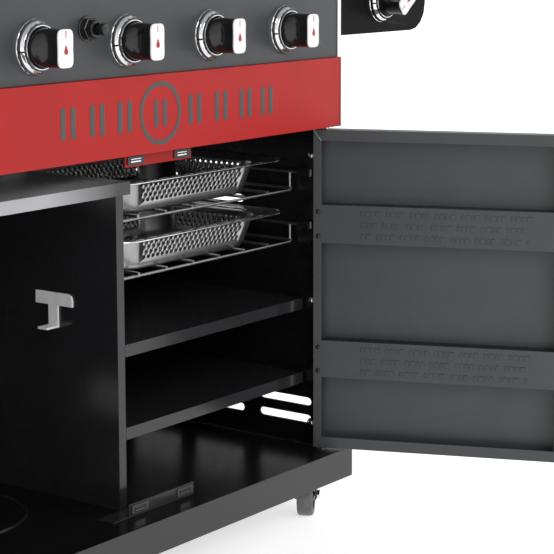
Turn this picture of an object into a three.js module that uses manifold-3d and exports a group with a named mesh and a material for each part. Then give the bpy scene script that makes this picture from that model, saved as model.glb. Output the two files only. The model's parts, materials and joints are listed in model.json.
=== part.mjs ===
// Cabinet gas barbecue that also takes charcoal trays. Millimetres, +X right, +Y to the rear, +Z up.
// The model is built with its control panel in the plane y = 0 and then centred on the origin.
import * as THREE from 'three';
import { mergeVertices } from 'three/addons/utils/BufferGeometryUtils.js';
import Module from 'manifold-3d';

const wasm = await Module();
wasm.setup();

// ---- driving dimensions -------------------------------------------------------------------------
const GAP = 0.3;
const SHEET = 2.5;
const BODY = { half: 372, rear: 455, wallIn: 364, wallOut: 378, wallFront: 35, top: 800 };
const BASE = { half: 391.5, front: -10, rear: 470, top: 97, apron: 44, sheet: 3 };
const FASCIA = { bottom: 576, top: 675.5, depth: 34 };
const PANEL = { front: 6, top: 803, depth: 58 };
const TRIM = { wide: 8, front: -1.5 };
const DOOR = { pivotX: 357, pivotY: 13, width: 369, thick: 25, bottom: 102, top: 572, lip: 16 };
const DOOR_HINGE_SIDE = 17;
const DOOR_HINGE_LIP = 12;
const DOOR_BANDS = [[208, 263], [407, 463]];
const RIGHT_DOOR_OPEN = 112.4;
const LEFT_DOOR_OPEN = 135;
const DOOR_HANDLE = { length: 190, radius: 6, stand: 30, inset: 40, middle: 430 };
const DIVIDER = { left: -51, right: -37, front: 57, rear: 449.5 };
const SHIELD = { top: 536, front: 44, apron: 17 };
const SHELVES = { upper_shelf: 318.5, lower_shelf: 207 };
const SHELF_APRON = 16.5;
const REAR_PANEL = { front: 450, top: 540 };
const SLOT = { length: 96, height: 12, first: 45, pitch: 125.5, columns: 3 };
const SLOT_ROWS = [135, 161.4, 457, 483.4, 509.8];
const SLOT_FRONT_ROWS = 2;
const BOLT_ROWS = [130, 316, 531];
const BOLT_DEPTH = 44.5;
const RACKS = { upper_wire_rack: 478, lower_wire_rack: 401 };
const RACK = { left: -36, right: 356, front: 77, rear: 440, rail: 28, wire: 2.5, pitch: 57 };
const CHARCOAL = { left: -35, right: 338, front: 60, rear: 297, drop: 47, sheet: 1.5, corner: 36 };
const CHARCOAL_RIM_CORNER = 40;
const CHARCOAL_FLANGE = { left: 18, right: 48, front: 20, rear: 16 };
const CHARCOAL_TAPER = 11;
const CATCH = { half: 66, at: 46, front: 25.4, plate: 2, high: 18 };
const HOOK = { front: 134, rear: 200, top: 379, high: 17, legFront: 160, legRear: 177, foot: 332 };
const BOTTLE_RING = { x: -208, y: 240, radius: 118, high: 3 };
const FIREBOX = { half: 360, front: 62, rear: 452, bottom: 600, rim: 377, wall: 3 };
const GRATE_LEDGE = 781.5;
const TENT_LEDGE = 724;
const BURNER_X = [-246, -82, 82, 246];
const BURNER = { height: 690, radius: 13, front: 84, rear: 430 };
const MANIFOLD = { y: 40, z: 720, radius: 8, half: 300 };
const KNOB_HEIGHT = 720;
const BEZEL = { outer: 33.5, step: 29, inner: 24.5, low: 6, high: 12 };
const KNOB = { skirt: 23.5, back: 6, shoulder: 22, face: 48, wide: 26, tall: 47 };
const IGNITER_X = -156.5;
const IGNITER_HEIGHT = 738;
const IGNITER_TRAVEL = 6;
const LID = { half: 366, front: 62, rear: 455, bottom: 803.8, top: 1172, sheet: 2.5 };
const LID_HANDLE = { half: 285, z: 862, stand: 46, radius: 12 };
const THERMOMETER = { z: 950, radius: 39 };
const WING = { inner: 380.5, outer: 655, front: 36, rear: 430, bottom: 703, top: 795, corner: 41 };
const SIDE_KNOB_X = 531;
const SIDE_KNOB_Z = 752;
const SIDE_KNOB_TURN = 52;
const SIDE_BURNER = { x: 518, y: 250, well: 108 };
const SIDE_LID = { half: 126, front: 118, rear: 388, high: 26 };
const CASTER_AT = [['front_left', -344, 38.5, 200], ['front_right', 344, 38.5, 211],
  ['rear_left', -344, 420, 160], ['rear_right', 344, 420, 20]];
const WHEEL = { radius: 32, half: 12, trail: 16 };

// ---- looks --------------------------------------------------------------------------------------
const paint = (color, roughness, metalness) =>
  new THREE.MeshStandardMaterial({ color, roughness, metalness });
const GREY_PAINT = paint(0x4a4b4d, 0.5, 0.3);
const DARK_PAINT = paint(0x1c1d1f, 0.4, 0.3);
const RED_PAINT = paint(0xb93128, 0.45, 0.1);
const STAINLESS = paint(0xb4b4b2, 0.3, 1);
const CHROME = paint(0xdcdcdc, 0.08, 1);
const CAST_IRON = paint(0x26262a, 0.7, 0.4);
const BLACK_PLASTIC = paint(0x18181a, 0.35, 0);
const ALUMINIUM = paint(0xc9cac8, 0.35, 1);
const TYRE_GREY = paint(0x77787a, 0.6, 0);

// ---- solid helpers ------------------------------------------------------------------------------
function solidOf(geometry) {
  const bare = geometry.clone();
  bare.deleteAttribute('normal');
  bare.deleteAttribute('uv');
  const merged = mergeVertices(bare, 1e-4);
  return new wasm.Manifold(new wasm.Mesh({
    numProp: 3,
    vertProperties: merged.attributes.position.array,
    triVerts: Uint32Array.from(merged.index.array),
  }));
}

function geometryOf(solid) {
  const mesh = solid.getMesh();
  const geometry = new THREE.BufferGeometry();
  geometry.setAttribute('position', new THREE.BufferAttribute(mesh.vertProperties, 3));
  geometry.setIndex(new THREE.BufferAttribute(mesh.triVerts, 1));
  geometry.computeVertexNormals();
  return geometry;
}

const join = (...pieces) => geometryOf(pieces.map(solidOf).reduce((sum, one) => sum.add(one)));
const cut = (piece, ...tools) =>
  geometryOf(tools.map(solidOf).reduce((rest, tool) => rest.subtract(tool), solidOf(piece)));

function block(x0, x1, y0, y1, z0, z1) {
  const geometry = new THREE.BoxGeometry(x1 - x0, y1 - y0, z1 - z0);
  return geometry.translate((x0 + x1) / 2, (y0 + y1) / 2, (z0 + z1) / 2);
}

// A round bar from one point to another.
function bar(from, to, radius, sides = 8) {
  const start = new THREE.Vector3(...from);
  const run = new THREE.Vector3(...to).sub(start);
  const geometry = new THREE.CylinderGeometry(radius, radius, run.length(), sides);
  const turn = new THREE.Quaternion().setFromUnitVectors(
    new THREE.Vector3(0, 1, 0), run.clone().normalize());
  return geometry.applyQuaternion(turn).translate(...start.addScaledVector(run, 0.5).toArray());
}

// A lathed solid round the Y axis; the profile holds [radius, y] pairs and closes on the axis.
function turned(profile, sides) {
  const points = profile.map(([radius, y]) => new THREE.Vector2(radius, y));
  return new THREE.LatheGeometry(points, sides);
}

function roundedRect(x0, x1, y0, y1, radius) {
  const shape = new THREE.Shape();
  shape.moveTo(x0 + radius, y0);
  shape.lineTo(x1 - radius, y0);
  shape.absarc(x1 - radius, y0 + radius, radius, -Math.PI / 2, 0, false);
  shape.lineTo(x1, y1 - radius);
  shape.absarc(x1 - radius, y1 - radius, radius, 0, Math.PI / 2, false);
  shape.lineTo(x0 + radius, y1);
  shape.absarc(x0 + radius, y1 - radius, radius, Math.PI / 2, Math.PI, false);
  shape.lineTo(x0, y0 + radius);
  shape.absarc(x0 + radius, y0 + radius, radius, Math.PI, Math.PI * 1.5, false);
  return shape;
}

const extruded = (shape, depth, curveSegments = 2) =>
  new THREE.ExtrudeGeometry(shape, { depth, bevelEnabled: false, curveSegments });

// A shape drawn with x = depth and y = height, swept along X between x0 and x1.
function sweptAcross(shape, x0, x1, curveSegments = 2) {
  const geometry = extruded(shape, x1 - x0, curveSegments);
  return geometry.rotateX(Math.PI / 2).rotateZ(Math.PI / 2).translate(x0, 0, 0);
}

const root = new THREE.Group();

function add(name, geometry, material, parent = root) {
  const mesh = new THREE.Mesh(geometry, material.clone());
  mesh.name = name;
  parent.add(mesh);
  return mesh;
}

// ---- base, walls and cabinet interior -----------------------------------------------------------
function baseTray() {
  const { half, front, rear, top, apron, sheet } = BASE;
  const pan = cut(
    block(-half, half, front, rear, top - apron, top),
    block(-half + sheet, half - sheet, front + sheet, rear - sheet, top - apron - 1, top - sheet));
  const { x, y, radius, high } = BOTTLE_RING;
  const ring = turned([[radius - 4, -1], [radius + 4, -1], [radius + 1.5, high], [radius - 1.5, high],
    [radius - 4, -1]], 28);
  return join(pan, ring.rotateX(Math.PI / 2).translate(x, y, top));
}

function sidePanel(side) {
  const { wallIn, wallOut, wallFront, rear, top } = BODY;
  const bottom = BASE.top + GAP;
  const channel = cut(
    block(wallIn, wallOut, wallFront, rear, bottom, top - GAP),
    block(wallIn + SHEET, wallOut + 1, wallFront + SHEET, rear - SHEET, bottom - 1, top));
  const tools = [];
  for (let column = 0; column < SLOT.columns; column += 1) {
    const y = SLOT.first + column * SLOT.pitch;
    for (const z of column === 0 ? SLOT_ROWS.slice(0, SLOT_FRONT_ROWS) : SLOT_ROWS) {
      const outline = roundedRect(y, y + SLOT.length, z - SLOT.height / 2, z + SLOT.height / 2,
        SLOT.height / 2 - 0.01);
      tools.push(sweptAcross(outline, wallIn - 1, wallIn + SHEET + 1, 1));
    }
  }
  const bolts = BOLT_ROWS.map((z) => bar([wallIn - 3, BOLT_DEPTH, z],
    [wallIn + 1, BOLT_DEPTH, z], 4, 6));
  const panel = join(cut(channel, ...tools), ...bolts);
  return side > 0 ? panel : mirrored(panel);
}

// Mirrors a solid across the middle plane, keeping its faces pointing out.
function mirrored(geometry) {
  const copy = geometry.index ? geometry.toNonIndexed() : geometry.clone();
  const position = copy.attributes.position;
  for (let i = 0; i < position.count; i += 3) {
    const corners = [0, 2, 1].map((k) => new THREE.Vector3().fromBufferAttribute(position, i + k));
    corners.forEach((corner, k) => position.setXYZ(i + k, -corner.x, corner.y, corner.z));
  }
  copy.computeVertexNormals();
  return copy;
}

function divider() {
  const { left, right, front, rear } = DIVIDER;
  const bottom = BASE.top + GAP;
  const top = SHIELD.top - 2 - GAP;
  return cut(
    block(left, right, front, rear, bottom, top),
    block(left + 2, right + 1, front + 2, rear - 2, bottom - 1, top + 1));
}

// A flat sheet with a front apron folded down and a short return under it.
function apronShelf(x0, x1, front, rear, top, apron) {
  return join(
    block(x0, x1, front, rear, top - 2, top),
    block(x0, x1, front, front + 2, top - apron, top - 1),
    block(x0, x1, front + 1, front + 12, top - apron, top - apron + 2));
}

add('base_tray', baseTray(), DARK_PAINT);
add('right_side_panel', sidePanel(1), DARK_PAINT);
add('left_side_panel', sidePanel(-1), DARK_PAINT);
add('rear_panel', block(-BODY.wallIn + GAP, BODY.wallIn - GAP, REAR_PANEL.front,
  REAR_PANEL.front + 2, BASE.top + GAP, REAR_PANEL.top), DARK_PAINT);
add('centre_divider', divider(), DARK_PAINT);
add('bottle_heat_shield', apronShelf(-BODY.wallIn + 4, DIVIDER.right, SHIELD.front,
  REAR_PANEL.front - GAP, SHIELD.top, SHIELD.apron), DARK_PAINT);
for (const [name, top] of Object.entries(SHELVES)) {
  add(name, apronShelf(DIVIDER.right + GAP, BODY.wallIn - 4, DIVIDER.front,
    REAR_PANEL.front - GAP, top, SHELF_APRON), DARK_PAINT);
}

function bottleHook() {
  const plate = new THREE.Shape();
  const { front, rear, top, high, legFront, legRear, foot } = HOOK;
  plate.moveTo(front, top - high);
  plate.lineTo(front, top - 8);
  plate.quadraticCurveTo(front, top, front + 8, top);
  plate.lineTo(rear, top);
  plate.lineTo(rear, top - high);
  plate.lineTo(legRear, top - high);
  plate.lineTo(legRear, foot);
  plate.lineTo(legFront, foot);
  plate.lineTo(legFront, top - high);
  const face = sweptAcross(plate, DIVIDER.left - GAP - 3, DIVIDER.left - GAP);
  const lip = block(DIVIDER.left - 24, DIVIDER.left - GAP - 1, legFront, legRear, foot, foot + 3);
  return join(face, lip);
}
add('bottle_hook', bottleHook(), STAINLESS);

// A wire rack: edge wires, cross wires and a raised guard wire on posts at each end.
function wireRack(z) {
  const { left, right, front, rear, rail, wire, pitch } = RACK;
  const wires = [
    bar([left, front, z], [right, front, z], wire, 6),
    bar([left, rear, z], [right, rear, z], wire, 6),
    bar([left, 258, z - 4], [right, 258, z - 4], wire, 6),
  ];
  for (let x = right - 2; x > left; x -= pitch) {
    wires.push(bar([x, front, z], [x, rear, z], wire * 0.9, 6));
  }
  for (const y of [front, rear - 60, front + 120]) {
    wires.push(bar([right - 2, y, z], [right - 2, y, z + rail], wire * 0.9, 6));
  }
  wires.push(bar([right - 2, front, z + rail], [right - 2, rear, z + rail], wire * 0.9, 6));
  const x = right - 2;
  wires.push(bar([x, front, z + rail], [x, 40, z + rail], wire * 0.9, 6));
  wires.push(bar([x, 62, z + rail], [x, 43, z + rail], 4.5, 8));
  wires.push(block(x - 5, BODY.wallIn - GAP, 40, 42, z + rail - 5, z + rail + 5));
  wires.push(bar([x, rear - 60, z + rail], [BODY.wallIn - 1, rear - 60, z + rail], 3, 8));
  return join(...wires);
}
for (const [name, z] of Object.entries(RACKS)) {
  add(name, wireRack(z), CHROME);
}

// A deep pan with sloping walls, round corners and a broad flat rim; its rim top lies at z = 0.
function charcoalTray() {
  const { left, right, front, rear, drop, sheet, corner } = CHARCOAL;
  const flange = CHARCOAL_FLANGE;
  const taper = CHARCOAL_TAPER;
  const mouth = [left + flange.left, right - flange.right, front + flange.front, rear - flange.rear];
  const funnel = (grow, bottom, top) => {
    const outline = (inset) => roundedRect(mouth[0] + inset - grow, mouth[1] - inset + grow,
      mouth[2] + inset - grow, mouth[3] - inset + grow, corner).getPoints(3)
      .filter((p, i, all) => p.distanceTo(all[(i + 1) % all.length]) > 0.01);
    const upper = outline(0);
    const lower = outline(taper);
    const points = [];
    for (const [ring, z] of [[lower, bottom], [upper, top]]) {
      ring.forEach((p) => points.push(p.x, p.y, z));
    }
    const count = lower.length;
    const faces = [];
    for (let i = 0; i < count; i += 1) {
      const next = (i + 1) % count;
      faces.push(i, next, count + next, i, count + next, count + i);
    }
    for (let i = 1; i < count - 1; i += 1) {
      faces.push(0, i + 1, i, count, count + i, count + i + 1);
    }
    const geometry = new THREE.BufferGeometry();
    geometry.setAttribute('position', new THREE.Float32BufferAttribute(points, 3));
    geometry.setIndex(faces);
    return geometry;
  };
  const rim = extruded(roundedRect(left, right, front, rear, CHARCOAL_RIM_CORNER), sheet).translate(0, 0, -sheet);
  const middle = (mouth[0] + mouth[1]) / 2;
  const ridge = new THREE.Shape();
  ridge.moveTo(middle - 26, -drop + 0.5);
  ridge.lineTo(middle, -drop + 26);
  ridge.lineTo(middle + 26, -drop + 0.5);
  const crest = extruded(ridge, mouth[3] - mouth[2] - 2 * taper + 4).rotateX(Math.PI / 2)
    .translate(0, mouth[3] - taper + 2, 0);
  const pan = cut(join(rim, funnel(sheet, -drop, 0)), funnel(0, -drop + sheet, 1));
  return join(pan, crest);
}
for (const [name, rack] of [['upper_charcoal_tray', 'upper_wire_rack'],
  ['lower_charcoal_tray', 'lower_wire_rack']]) {
  add(name, charcoalTray(), STAINLESS).position.z = RACKS[rack] + RACK.wire + GAP + CHARCOAL.drop;
}

// An angle bracket with two magnetic catches on its front, upright from z = 0.
function catchBracket(footLeft) {
  const { half, at, front, plate, high } = CATCH;
  const back = front + 2 + plate;
  const pieces = [
    block(-half, half, front + 2, back, 0, high),
    block(-footLeft, half, front + 2, back + 26, 0, 2),
  ];
  for (const x of [-at, at]) {
    pieces.push(block(x - 13, x + 13, front, front + 3, 5, 15));
  }
  return join(...pieces);
}
add('lower_catch_bracket', catchBracket(98), DARK_PAINT).position.z = BASE.top + GAP;
const upperCatch = add('upper_catch_bracket', catchBracket(66).rotateY(Math.PI), RED_PAINT);
upperCatch.position.z = FASCIA.bottom + 2.5 - GAP - 2.8;

// ---- front: fascia, control panel, trims --------------------------------------------------------
function fascia() {
  const { bottom, top, depth } = FASCIA;
  const half = BODY.half - GAP;
  return cut(
    block(-half, half, 0, depth, bottom, top),
    block(-half + 2, half - 2, 2, depth + 1, bottom + 2, top - 2),
    block(-half + 2, half - 2, 14, depth + 1, bottom - 1, bottom + 3));
}

function controlPanel() {
  const half = BODY.half - GAP;
  const bottom = FASCIA.top + GAP;
  const skin = join(
    cut(
      block(-half, half, PANEL.front, FASCIA.depth, bottom, PANEL.top),
      block(-half + 2, half - 2, PANEL.front + 2, FASCIA.depth + 1, bottom + 2, PANEL.top - 2),
      block(-half + 2, half - 2, 14, FASCIA.depth + 1, bottom - 1, bottom + 3)),
    block(-half, half, FASCIA.depth - 1, PANEL.depth, PANEL.top - 2, PANEL.top));
  const bores = BURNER_X.map((x) => bar([x, -8, KNOB_HEIGHT], [x, 12, KNOB_HEIGHT], 6, 10));
  bores.push(bar([IGNITER_X, -8, IGNITER_HEIGHT], [IGNITER_X, 12, IGNITER_HEIGHT], 8.5, 12));
  const bezels = BURNER_X.map((x) => bezel().translate(x, PANEL.front, KNOB_HEIGHT));
  return join(cut(skin, ...bores), ...bezels);
}

// A two-step ring standing on the panel, its axis along Y.
function bezel() {
  const { outer, step, inner, low, high } = BEZEL;
  return turned([[inner, 1], [inner, -high], [step, -high], [step, -low], [outer, -low], [outer, 1],
    [inner, 1]], 20);
}

add('red_fascia', fascia(), RED_PAINT);
add('control_panel', controlPanel(), GREY_PAINT);
for (const [name, side] of [['left_trim', -1], ['right_trim', 1]]) {
  const half = TRIM.wide / 2;
  const trim = join(block(-half, half, TRIM.front, FASCIA.depth, FASCIA.bottom, FASCIA.top),
    block(-half, half, PANEL.front + TRIM.front, FASCIA.depth, FASCIA.top - 1, PANEL.top));
  add(name, trim, ALUMINIUM).position.x = side * (BODY.half + TRIM.wide / 2);
}

// A knob: round skirt and a tall grip bar; its axis is Y and its back is at y = 0.
function knob() {
  const { skirt, back, shoulder, face, wide, tall } = KNOB;
  const skirtBody = turned([[0, 0], [skirt, 0], [skirt, -shoulder + back + 6],
    [skirt - 5, -shoulder + back], [0, -shoulder + back]].reverse(), 16);
  const grip = extruded(roundedRect(-wide / 2, wide / 2, -tall / 2, tall / 2, 7), face - back - 6.5, 1)
    .rotateX(Math.PI / 2).translate(0, -6.5, 0);
  return join(skirtBody, grip);
}
BURNER_X.forEach((x, i) => {
  add(`burner_knob_${i + 1}`, knob(), BLACK_PLASTIC).position.set(x, PANEL.front - KNOB.back, KNOB_HEIGHT);
});

const igniter = new THREE.Group();
igniter.position.set(IGNITER_X, PANEL.front, IGNITER_HEIGHT);
root.add(igniter);
add('igniter_housing', cut(
  join(bar([0, -GAP, 0], [0, -8, 0], 13, 6), bar([0, -7, 0], [0, -16, 0], 10, 16),
    bar([0, -1, 0], [0, 30, 0], 8, 12)),
  bar([0, -17, 0], [0, 28, 0], 6.6, 16)), BLACK_PLASTIC, igniter);
add('igniter_button', join(bar([0, 18, 0], [0, -24, 0], 6, 16), bar([0, -23, 0], [0, -30, 0], 8.5, 16)),
  BLACK_PLASTIC, igniter);

function gasManifold() {
  const { y, z, radius, half } = MANIFOLD;
  const pieces = [bar([-half, y, z], [half + 40, y, z], radius, 10)];
  for (const x of BURNER_X) {
    pieces.push(block(x - 13, x + 13, 14, y + 6, z - 14, z + 14));
    pieces.push(bar([x, 16, z], [x, PANEL.front - KNOB.back + GAP, z], 4, 8));
    pieces.push(bar([x, y, z - 10], [x, y, z - 30], 7, 8));
  }
  return join(...pieces);
}
add('gas_manifold', gasManifold(), ALUMINIUM);

// ---- firebox and what lies in it ----------------------------------------------------------------
function firebox() {
  const { half, front, rear, bottom, rim, wall } = FIREBOX;
  const shell = cut(
    join(block(-half, half, front, rear, bottom, 802), block(-rim, rim, front, rear, 800, 803)),
    block(-half + wall, half - wall, front + wall, rear - wall, bottom + wall, 804),
    block(-150, 150, 200, 300, bottom - 1, bottom + wall + 1));
  const ports = BURNER_X.map((x) => block(x - 16, x + 16, front - 1, front + wall + 1, 674, 706));
  const ledges = [];
  for (const top of [GRATE_LEDGE, TENT_LEDGE]) {
    ledges.push(block(-half + 1, half - 1, front + 1, front + 16, top - 3, top));
    ledges.push(block(-half + 1, half - 1, rear - 16, rear - 1, top - 3, top));
  }
  const runners = [];
  for (const side of [-1, 1]) {
    const plate = [side * 174, side * 177].sort((a, b) => a - b);
    const lip = [side * 160, side * 176].sort((a, b) => a - b);
    runners.push(block(...plate, 150, 440, 545, bottom + 1));
    runners.push(block(...lip, 150, 440, 545, 548));
  }
  return join(cut(shell, ...ports), ...ledges, ...runners);
}
add('firebox', firebox(), DARK_PAINT);

function burner() {
  const { radius, front, rear } = BURNER;
  return join(
    bar([0, front - 30, 0], [0, rear, 0], radius, 10),
    bar([0, front - 34, 0], [0, front - 26, 0], radius + 2, 10),
    block(-radius - 4, radius + 4, rear - 4, rear, -radius, radius));
}

function heatTent() {
  const outline = (grow) => {
    const roof = new THREE.Shape();
    roof.moveTo(-46 - grow, 0);
    roof.lineTo(0, 38 + grow);
    roof.lineTo(46 + grow, 0);
    return roof;
  };
  const length = FIREBOX.rear - FIREBOX.front - 2 * FIREBOX.wall - 2;
  const roof = extruded(outline(0), length);
  const under = extruded(outline(-2), length + 2).translate(0, -0.6, -1);
  return cut(roof, under).rotateX(Math.PI / 2).translate(0, length, 0);
}

BURNER_X.forEach((x, i) => {
  add(`burner_tube_${i + 1}`, burner(), STAINLESS).position.set(x, 0, BURNER.height);
  add(`heat_tent_${i + 1}`, heatTent(), STAINLESS)
    .position.set(x, FIREBOX.front + FIREBOX.wall + 1, TENT_LEDGE + GAP);
});

// A cast grate: frame and long bars running front to rear.
function grate() {
  const half = 177;
  const front = FIREBOX.front + FIREBOX.wall + 1;
  const rear = FIREBOX.rear - FIREBOX.wall - 1;
  const pieces = [];
  for (const y of [front, (front + rear) / 2 - 5, rear - 10]) {
    pieces.push(block(-half, half, y, y + 10, 0, 8));
  }
  for (let i = 0; i < 10; i += 1) {
    const x = -half + 4 + i * ((2 * half - 8) / 9);
    pieces.push(block(x - 4, x + 4, front, rear, 1, 13));
  }
  return join(...pieces);
}
add('left_cooking_grate', grate(), CAST_IRON).position.set(-178, 0, GRATE_LEDGE + GAP);
add('right_cooking_grate', grate(), CAST_IRON).position.set(178, 0, GRATE_LEDGE + GAP);

function warmingRack() {
  const [half, front, rear, z, foot] = [334, 310, 425, 905, 803 + GAP];
  const wires = [
    bar([-half, front, z], [half, front, z], 3, 6),
    bar([-half, rear, z], [half, rear, z], 3, 6),
  ];
  for (let i = 0; i <= 10; i += 1) {
    const x = -half + 4 + i * ((2 * half - 8) / 10);
    wires.push(bar([x, front, z], [x, rear, z], 2, 6));
  }
  for (const x of [-half + 4, half - 4]) {
    const out = Math.sign(x) * 359.5;
    for (const y of [front + 6, rear - 6]) {
      wires.push(bar([x, y, z], [x, y, foot + 6], 3, 6));
    }
    wires.push(block(Math.min(x, out) - 2, Math.max(x, out) + 2, front, rear, foot, foot + 8));
  }
  return join(...wires);
}

// ---- grease tray on the runners under the firebox -----------------------------------------------
const greaseTray = cut(block(-170, 170, 0, 262, 0, 36), block(-167, 167, 3, 259, 3, 37));
add('grease_tray', greaseTray, ALUMINIUM).position.set(0, 176, 552);

// ---- lid ----------------------------------------------------------------------------------------
function lidOutline(inset) {
  const { front, rear, bottom, top } = LID;
  const [f, r, t] = [front + inset, rear - inset, top - inset];
  const cuts = inset > 0 ? 6 : 0;
  const shape = new THREE.Shape();
  shape.moveTo(f, bottom - cuts);
  shape.lineTo(440, bottom - cuts);
  shape.lineTo(r, bottom + 8.5 - cuts);
  shape.lineTo(r, 1040);
  shape.quadraticCurveTo(r, t - 18, r - 110, t - 6);
  shape.quadraticCurveTo(r - 160, t, r - 210, t - 14);
  shape.quadraticCurveTo(f, t - 80, f, 985);
  return shape;
}

function lid() {
  const { half, sheet } = LID;
  return cut(
    sweptAcross(lidOutline(0), -half, half, 6),
    sweptAcross(lidOutline(sheet), -half + sheet, half - sheet, 6));
}
add('lid', lid(), GREY_PAINT);

function lidHandle() {
  const { half, z, stand, radius } = LID_HANDLE;
  const front = LID.front - GAP;
  const pieces = [bar([-half, front - stand, z], [half, front - stand, z], radius, 14)];
  for (const x of [-half + 30, half - 30]) {
    pieces.push(bar([x, front, z], [x, front - stand, z], 9, 12));
    pieces.push(bar([x, front, z], [x, front - 5, z], 16, 14));
  }
  return join(...pieces);
}
add('lid_handle', lidHandle(), STAINLESS);

const gauge = turned([[0, 0], [THERMOMETER.radius, 0], [THERMOMETER.radius, -12],
  [THERMOMETER.radius - 6, -12], [THERMOMETER.radius - 6, -9], [0, -9]].reverse(), 24);
add('lid_thermometer', gauge, CHROME).position.set(0, LID.front - GAP, THERMOMETER.z);
add('warming_rack', warmingRack(), CHROME);

// ---- side shelves -------------------------------------------------------------------------------
// An upside-down pan whose front outer lower corner is round.
function wing() {
  const { inner, outer, front, rear, bottom, top, corner } = WING;
  const face = (grow) => {
    const shape = new THREE.Shape();
    const [x0, x1, z0] = [inner + grow, outer - grow, bottom + (grow > 0 ? -1 : 0)];
    const z1 = top - grow;
    shape.moveTo(x0, z0);
    shape.lineTo(x1 - corner, z0);
    shape.absarc(x1 - corner, z0 + corner, corner, -Math.PI / 2, 0, false);
    shape.lineTo(x1, z1 - 6);
    shape.absarc(x1 - 6, z1 - 6, 6, 0, Math.PI / 2, false);
    shape.lineTo(x0, z1);
    return shape;
  };
  const upright = (shape, y0, y1) => extruded(shape, y1 - y0).rotateX(Math.PI / 2)
    .translate(0, y1, 0);
  return cut(upright(face(0), front, rear), upright(face(2.5), front + 2.5, rear - 2.5),
    block(inner + 20, outer - 20, front + 20, rear - 20, bottom - 2, bottom + 10));
}

function burnerWing() {
  const { x, y, well } = SIDE_BURNER;
  const pan = join(
    cut(wing(), bar([x, y, 780], [x, y, 800], well, 28),
      bar([SIDE_KNOB_X, 20, SIDE_KNOB_Z], [SIDE_KNOB_X, 44, SIDE_KNOB_Z], 6, 10)),
    cut(bar([x, y, 770], [x, y, 794.9], well + 1, 28), bar([x, y, 772.5], [x, y, 800], well - 1.5, 28),
      bar([x, y, 760], [x, y, 780], 14, 12)));
  const ring = cut(bezel(), bar([0, -20, 0], [0, 20, 0], 6, 10));
  return join(pan, ring.translate(SIDE_KNOB_X, WING.front, SIDE_KNOB_Z));
}
add('left_side_shelf', mirrored(wing()), DARK_PAINT);
add('right_side_shelf', burnerWing(), DARK_PAINT);

const sideBurner = join(
  bar([0, 0, -14], [0, 0, 4], 12, 12),
  turned([[0, 0], [34, 0], [38, 4], [38, 12], [30, 17], [0, 17]], 18).rotateX(Math.PI / 2));
add('side_burner', sideBurner, CAST_IRON).position.set(SIDE_BURNER.x, SIDE_BURNER.y, 773.5);

function sideGrate() {
  const pieces = [turned([[96, -3], [103, -3], [103, 3], [96, 3], [96, -3]], 18)
    .rotateX(Math.PI / 2)];
  for (let i = 0; i < 6; i += 1) {
    const arm = block(28, 98, -2.5, 2.5, -2.5, 3);
    pieces.push(arm.rotateZ(i * Math.PI / 3));
  }
  pieces.push(turned([[24, -3], [30, -3], [30, 3], [24, 3], [24, -3]], 12).rotateX(Math.PI / 2));
  for (let i = 0; i < 3; i += 1) {
    const leg = block(97, 102, -4, 4, -23.4, 0);
    pieces.push(leg.rotateZ(i * Math.PI * 2 / 3));
  }
  return join(...pieces);
}
add('side_burner_grate', sideGrate(), CAST_IRON).position.set(SIDE_BURNER.x, SIDE_BURNER.y, 796.6);

const sideLid = cut(
  block(-SIDE_LID.half, SIDE_LID.half, SIDE_LID.front, SIDE_LID.rear, 0, SIDE_LID.high),
  block(-SIDE_LID.half + 2, SIDE_LID.half - 2, SIDE_LID.front + 2, SIDE_LID.rear - 2, -1,
    SIDE_LID.high - 2));
add('side_burner_lid', sideLid, DARK_PAINT).position.set(SIDE_BURNER.x, 0, WING.top + GAP);

const sideKnob = add('side_burner_knob', knob(), BLACK_PLASTIC);
sideKnob.position.set(SIDE_KNOB_X, WING.front - KNOB.back, SIDE_KNOB_Z);
sideKnob.rotation.y = THREE.MathUtils.degToRad(SIDE_KNOB_TURN);

// ---- doors --------------------------------------------------------------------------------------
// A door drawn closed round its pivot at x = 0, running towards -X, with its skin facing -Y.
function door() {
  const { width, thick, bottom, top, lip, pivotY } = DOOR;
  const [right, left] = [DOOR_HINGE_SIDE, DOOR_HINGE_SIDE - width];
  const [front, back] = [-pivotY, thick - pivotY];
  const windows = [];
  const edges = [bottom + lip, ...DOOR_BANDS.flat(), top - lip];
  for (let i = 0; i < edges.length; i += 2) {
    windows.push(block(left + lip, right - DOOR_HINGE_LIP, 0, back + 1, edges[i],
      edges[i + 1]));
  }
  return cut(
    block(left, right, front, back, bottom, top),
    block(left + 1.5, right - 1.5, front + 1.5, back - 1.5, bottom + 1.5, top - 1.5),
    ...windows);
}

function doorHandle() {
  const { length, radius, stand, inset, middle } = DOOR_HANDLE;
  const x = DOOR_HINGE_SIDE - DOOR.width + inset;
  const y = -DOOR.pivotY - GAP;
  const pieces = [bar([x, y - stand, middle - length / 2], [x, y - stand, middle + length / 2],
    radius, 10)];
  for (const z of [middle - length / 2 + 22, middle + length / 2 - 22]) {
    pieces.push(bar([x, y, z], [x, y - stand, z], 5, 8));
  }
  return join(...pieces);
}

function hang(side, open, shape) {
  const group = new THREE.Group();
  group.position.set(side * DOOR.pivotX, DOOR.pivotY, 0);
  group.rotation.z = side * THREE.MathUtils.degToRad(open);
  root.add(group);
  const name = side > 0 ? 'right_door' : 'left_door';
  add(name, shape(door()), GREY_PAINT, group);
  add(`${name}_handle`, shape(doorHandle()), STAINLESS, group);
}
hang(1, RIGHT_DOOR_OPEN, (geometry) => geometry);
hang(-1, LEFT_DOOR_OPEN, mirrored);

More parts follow.
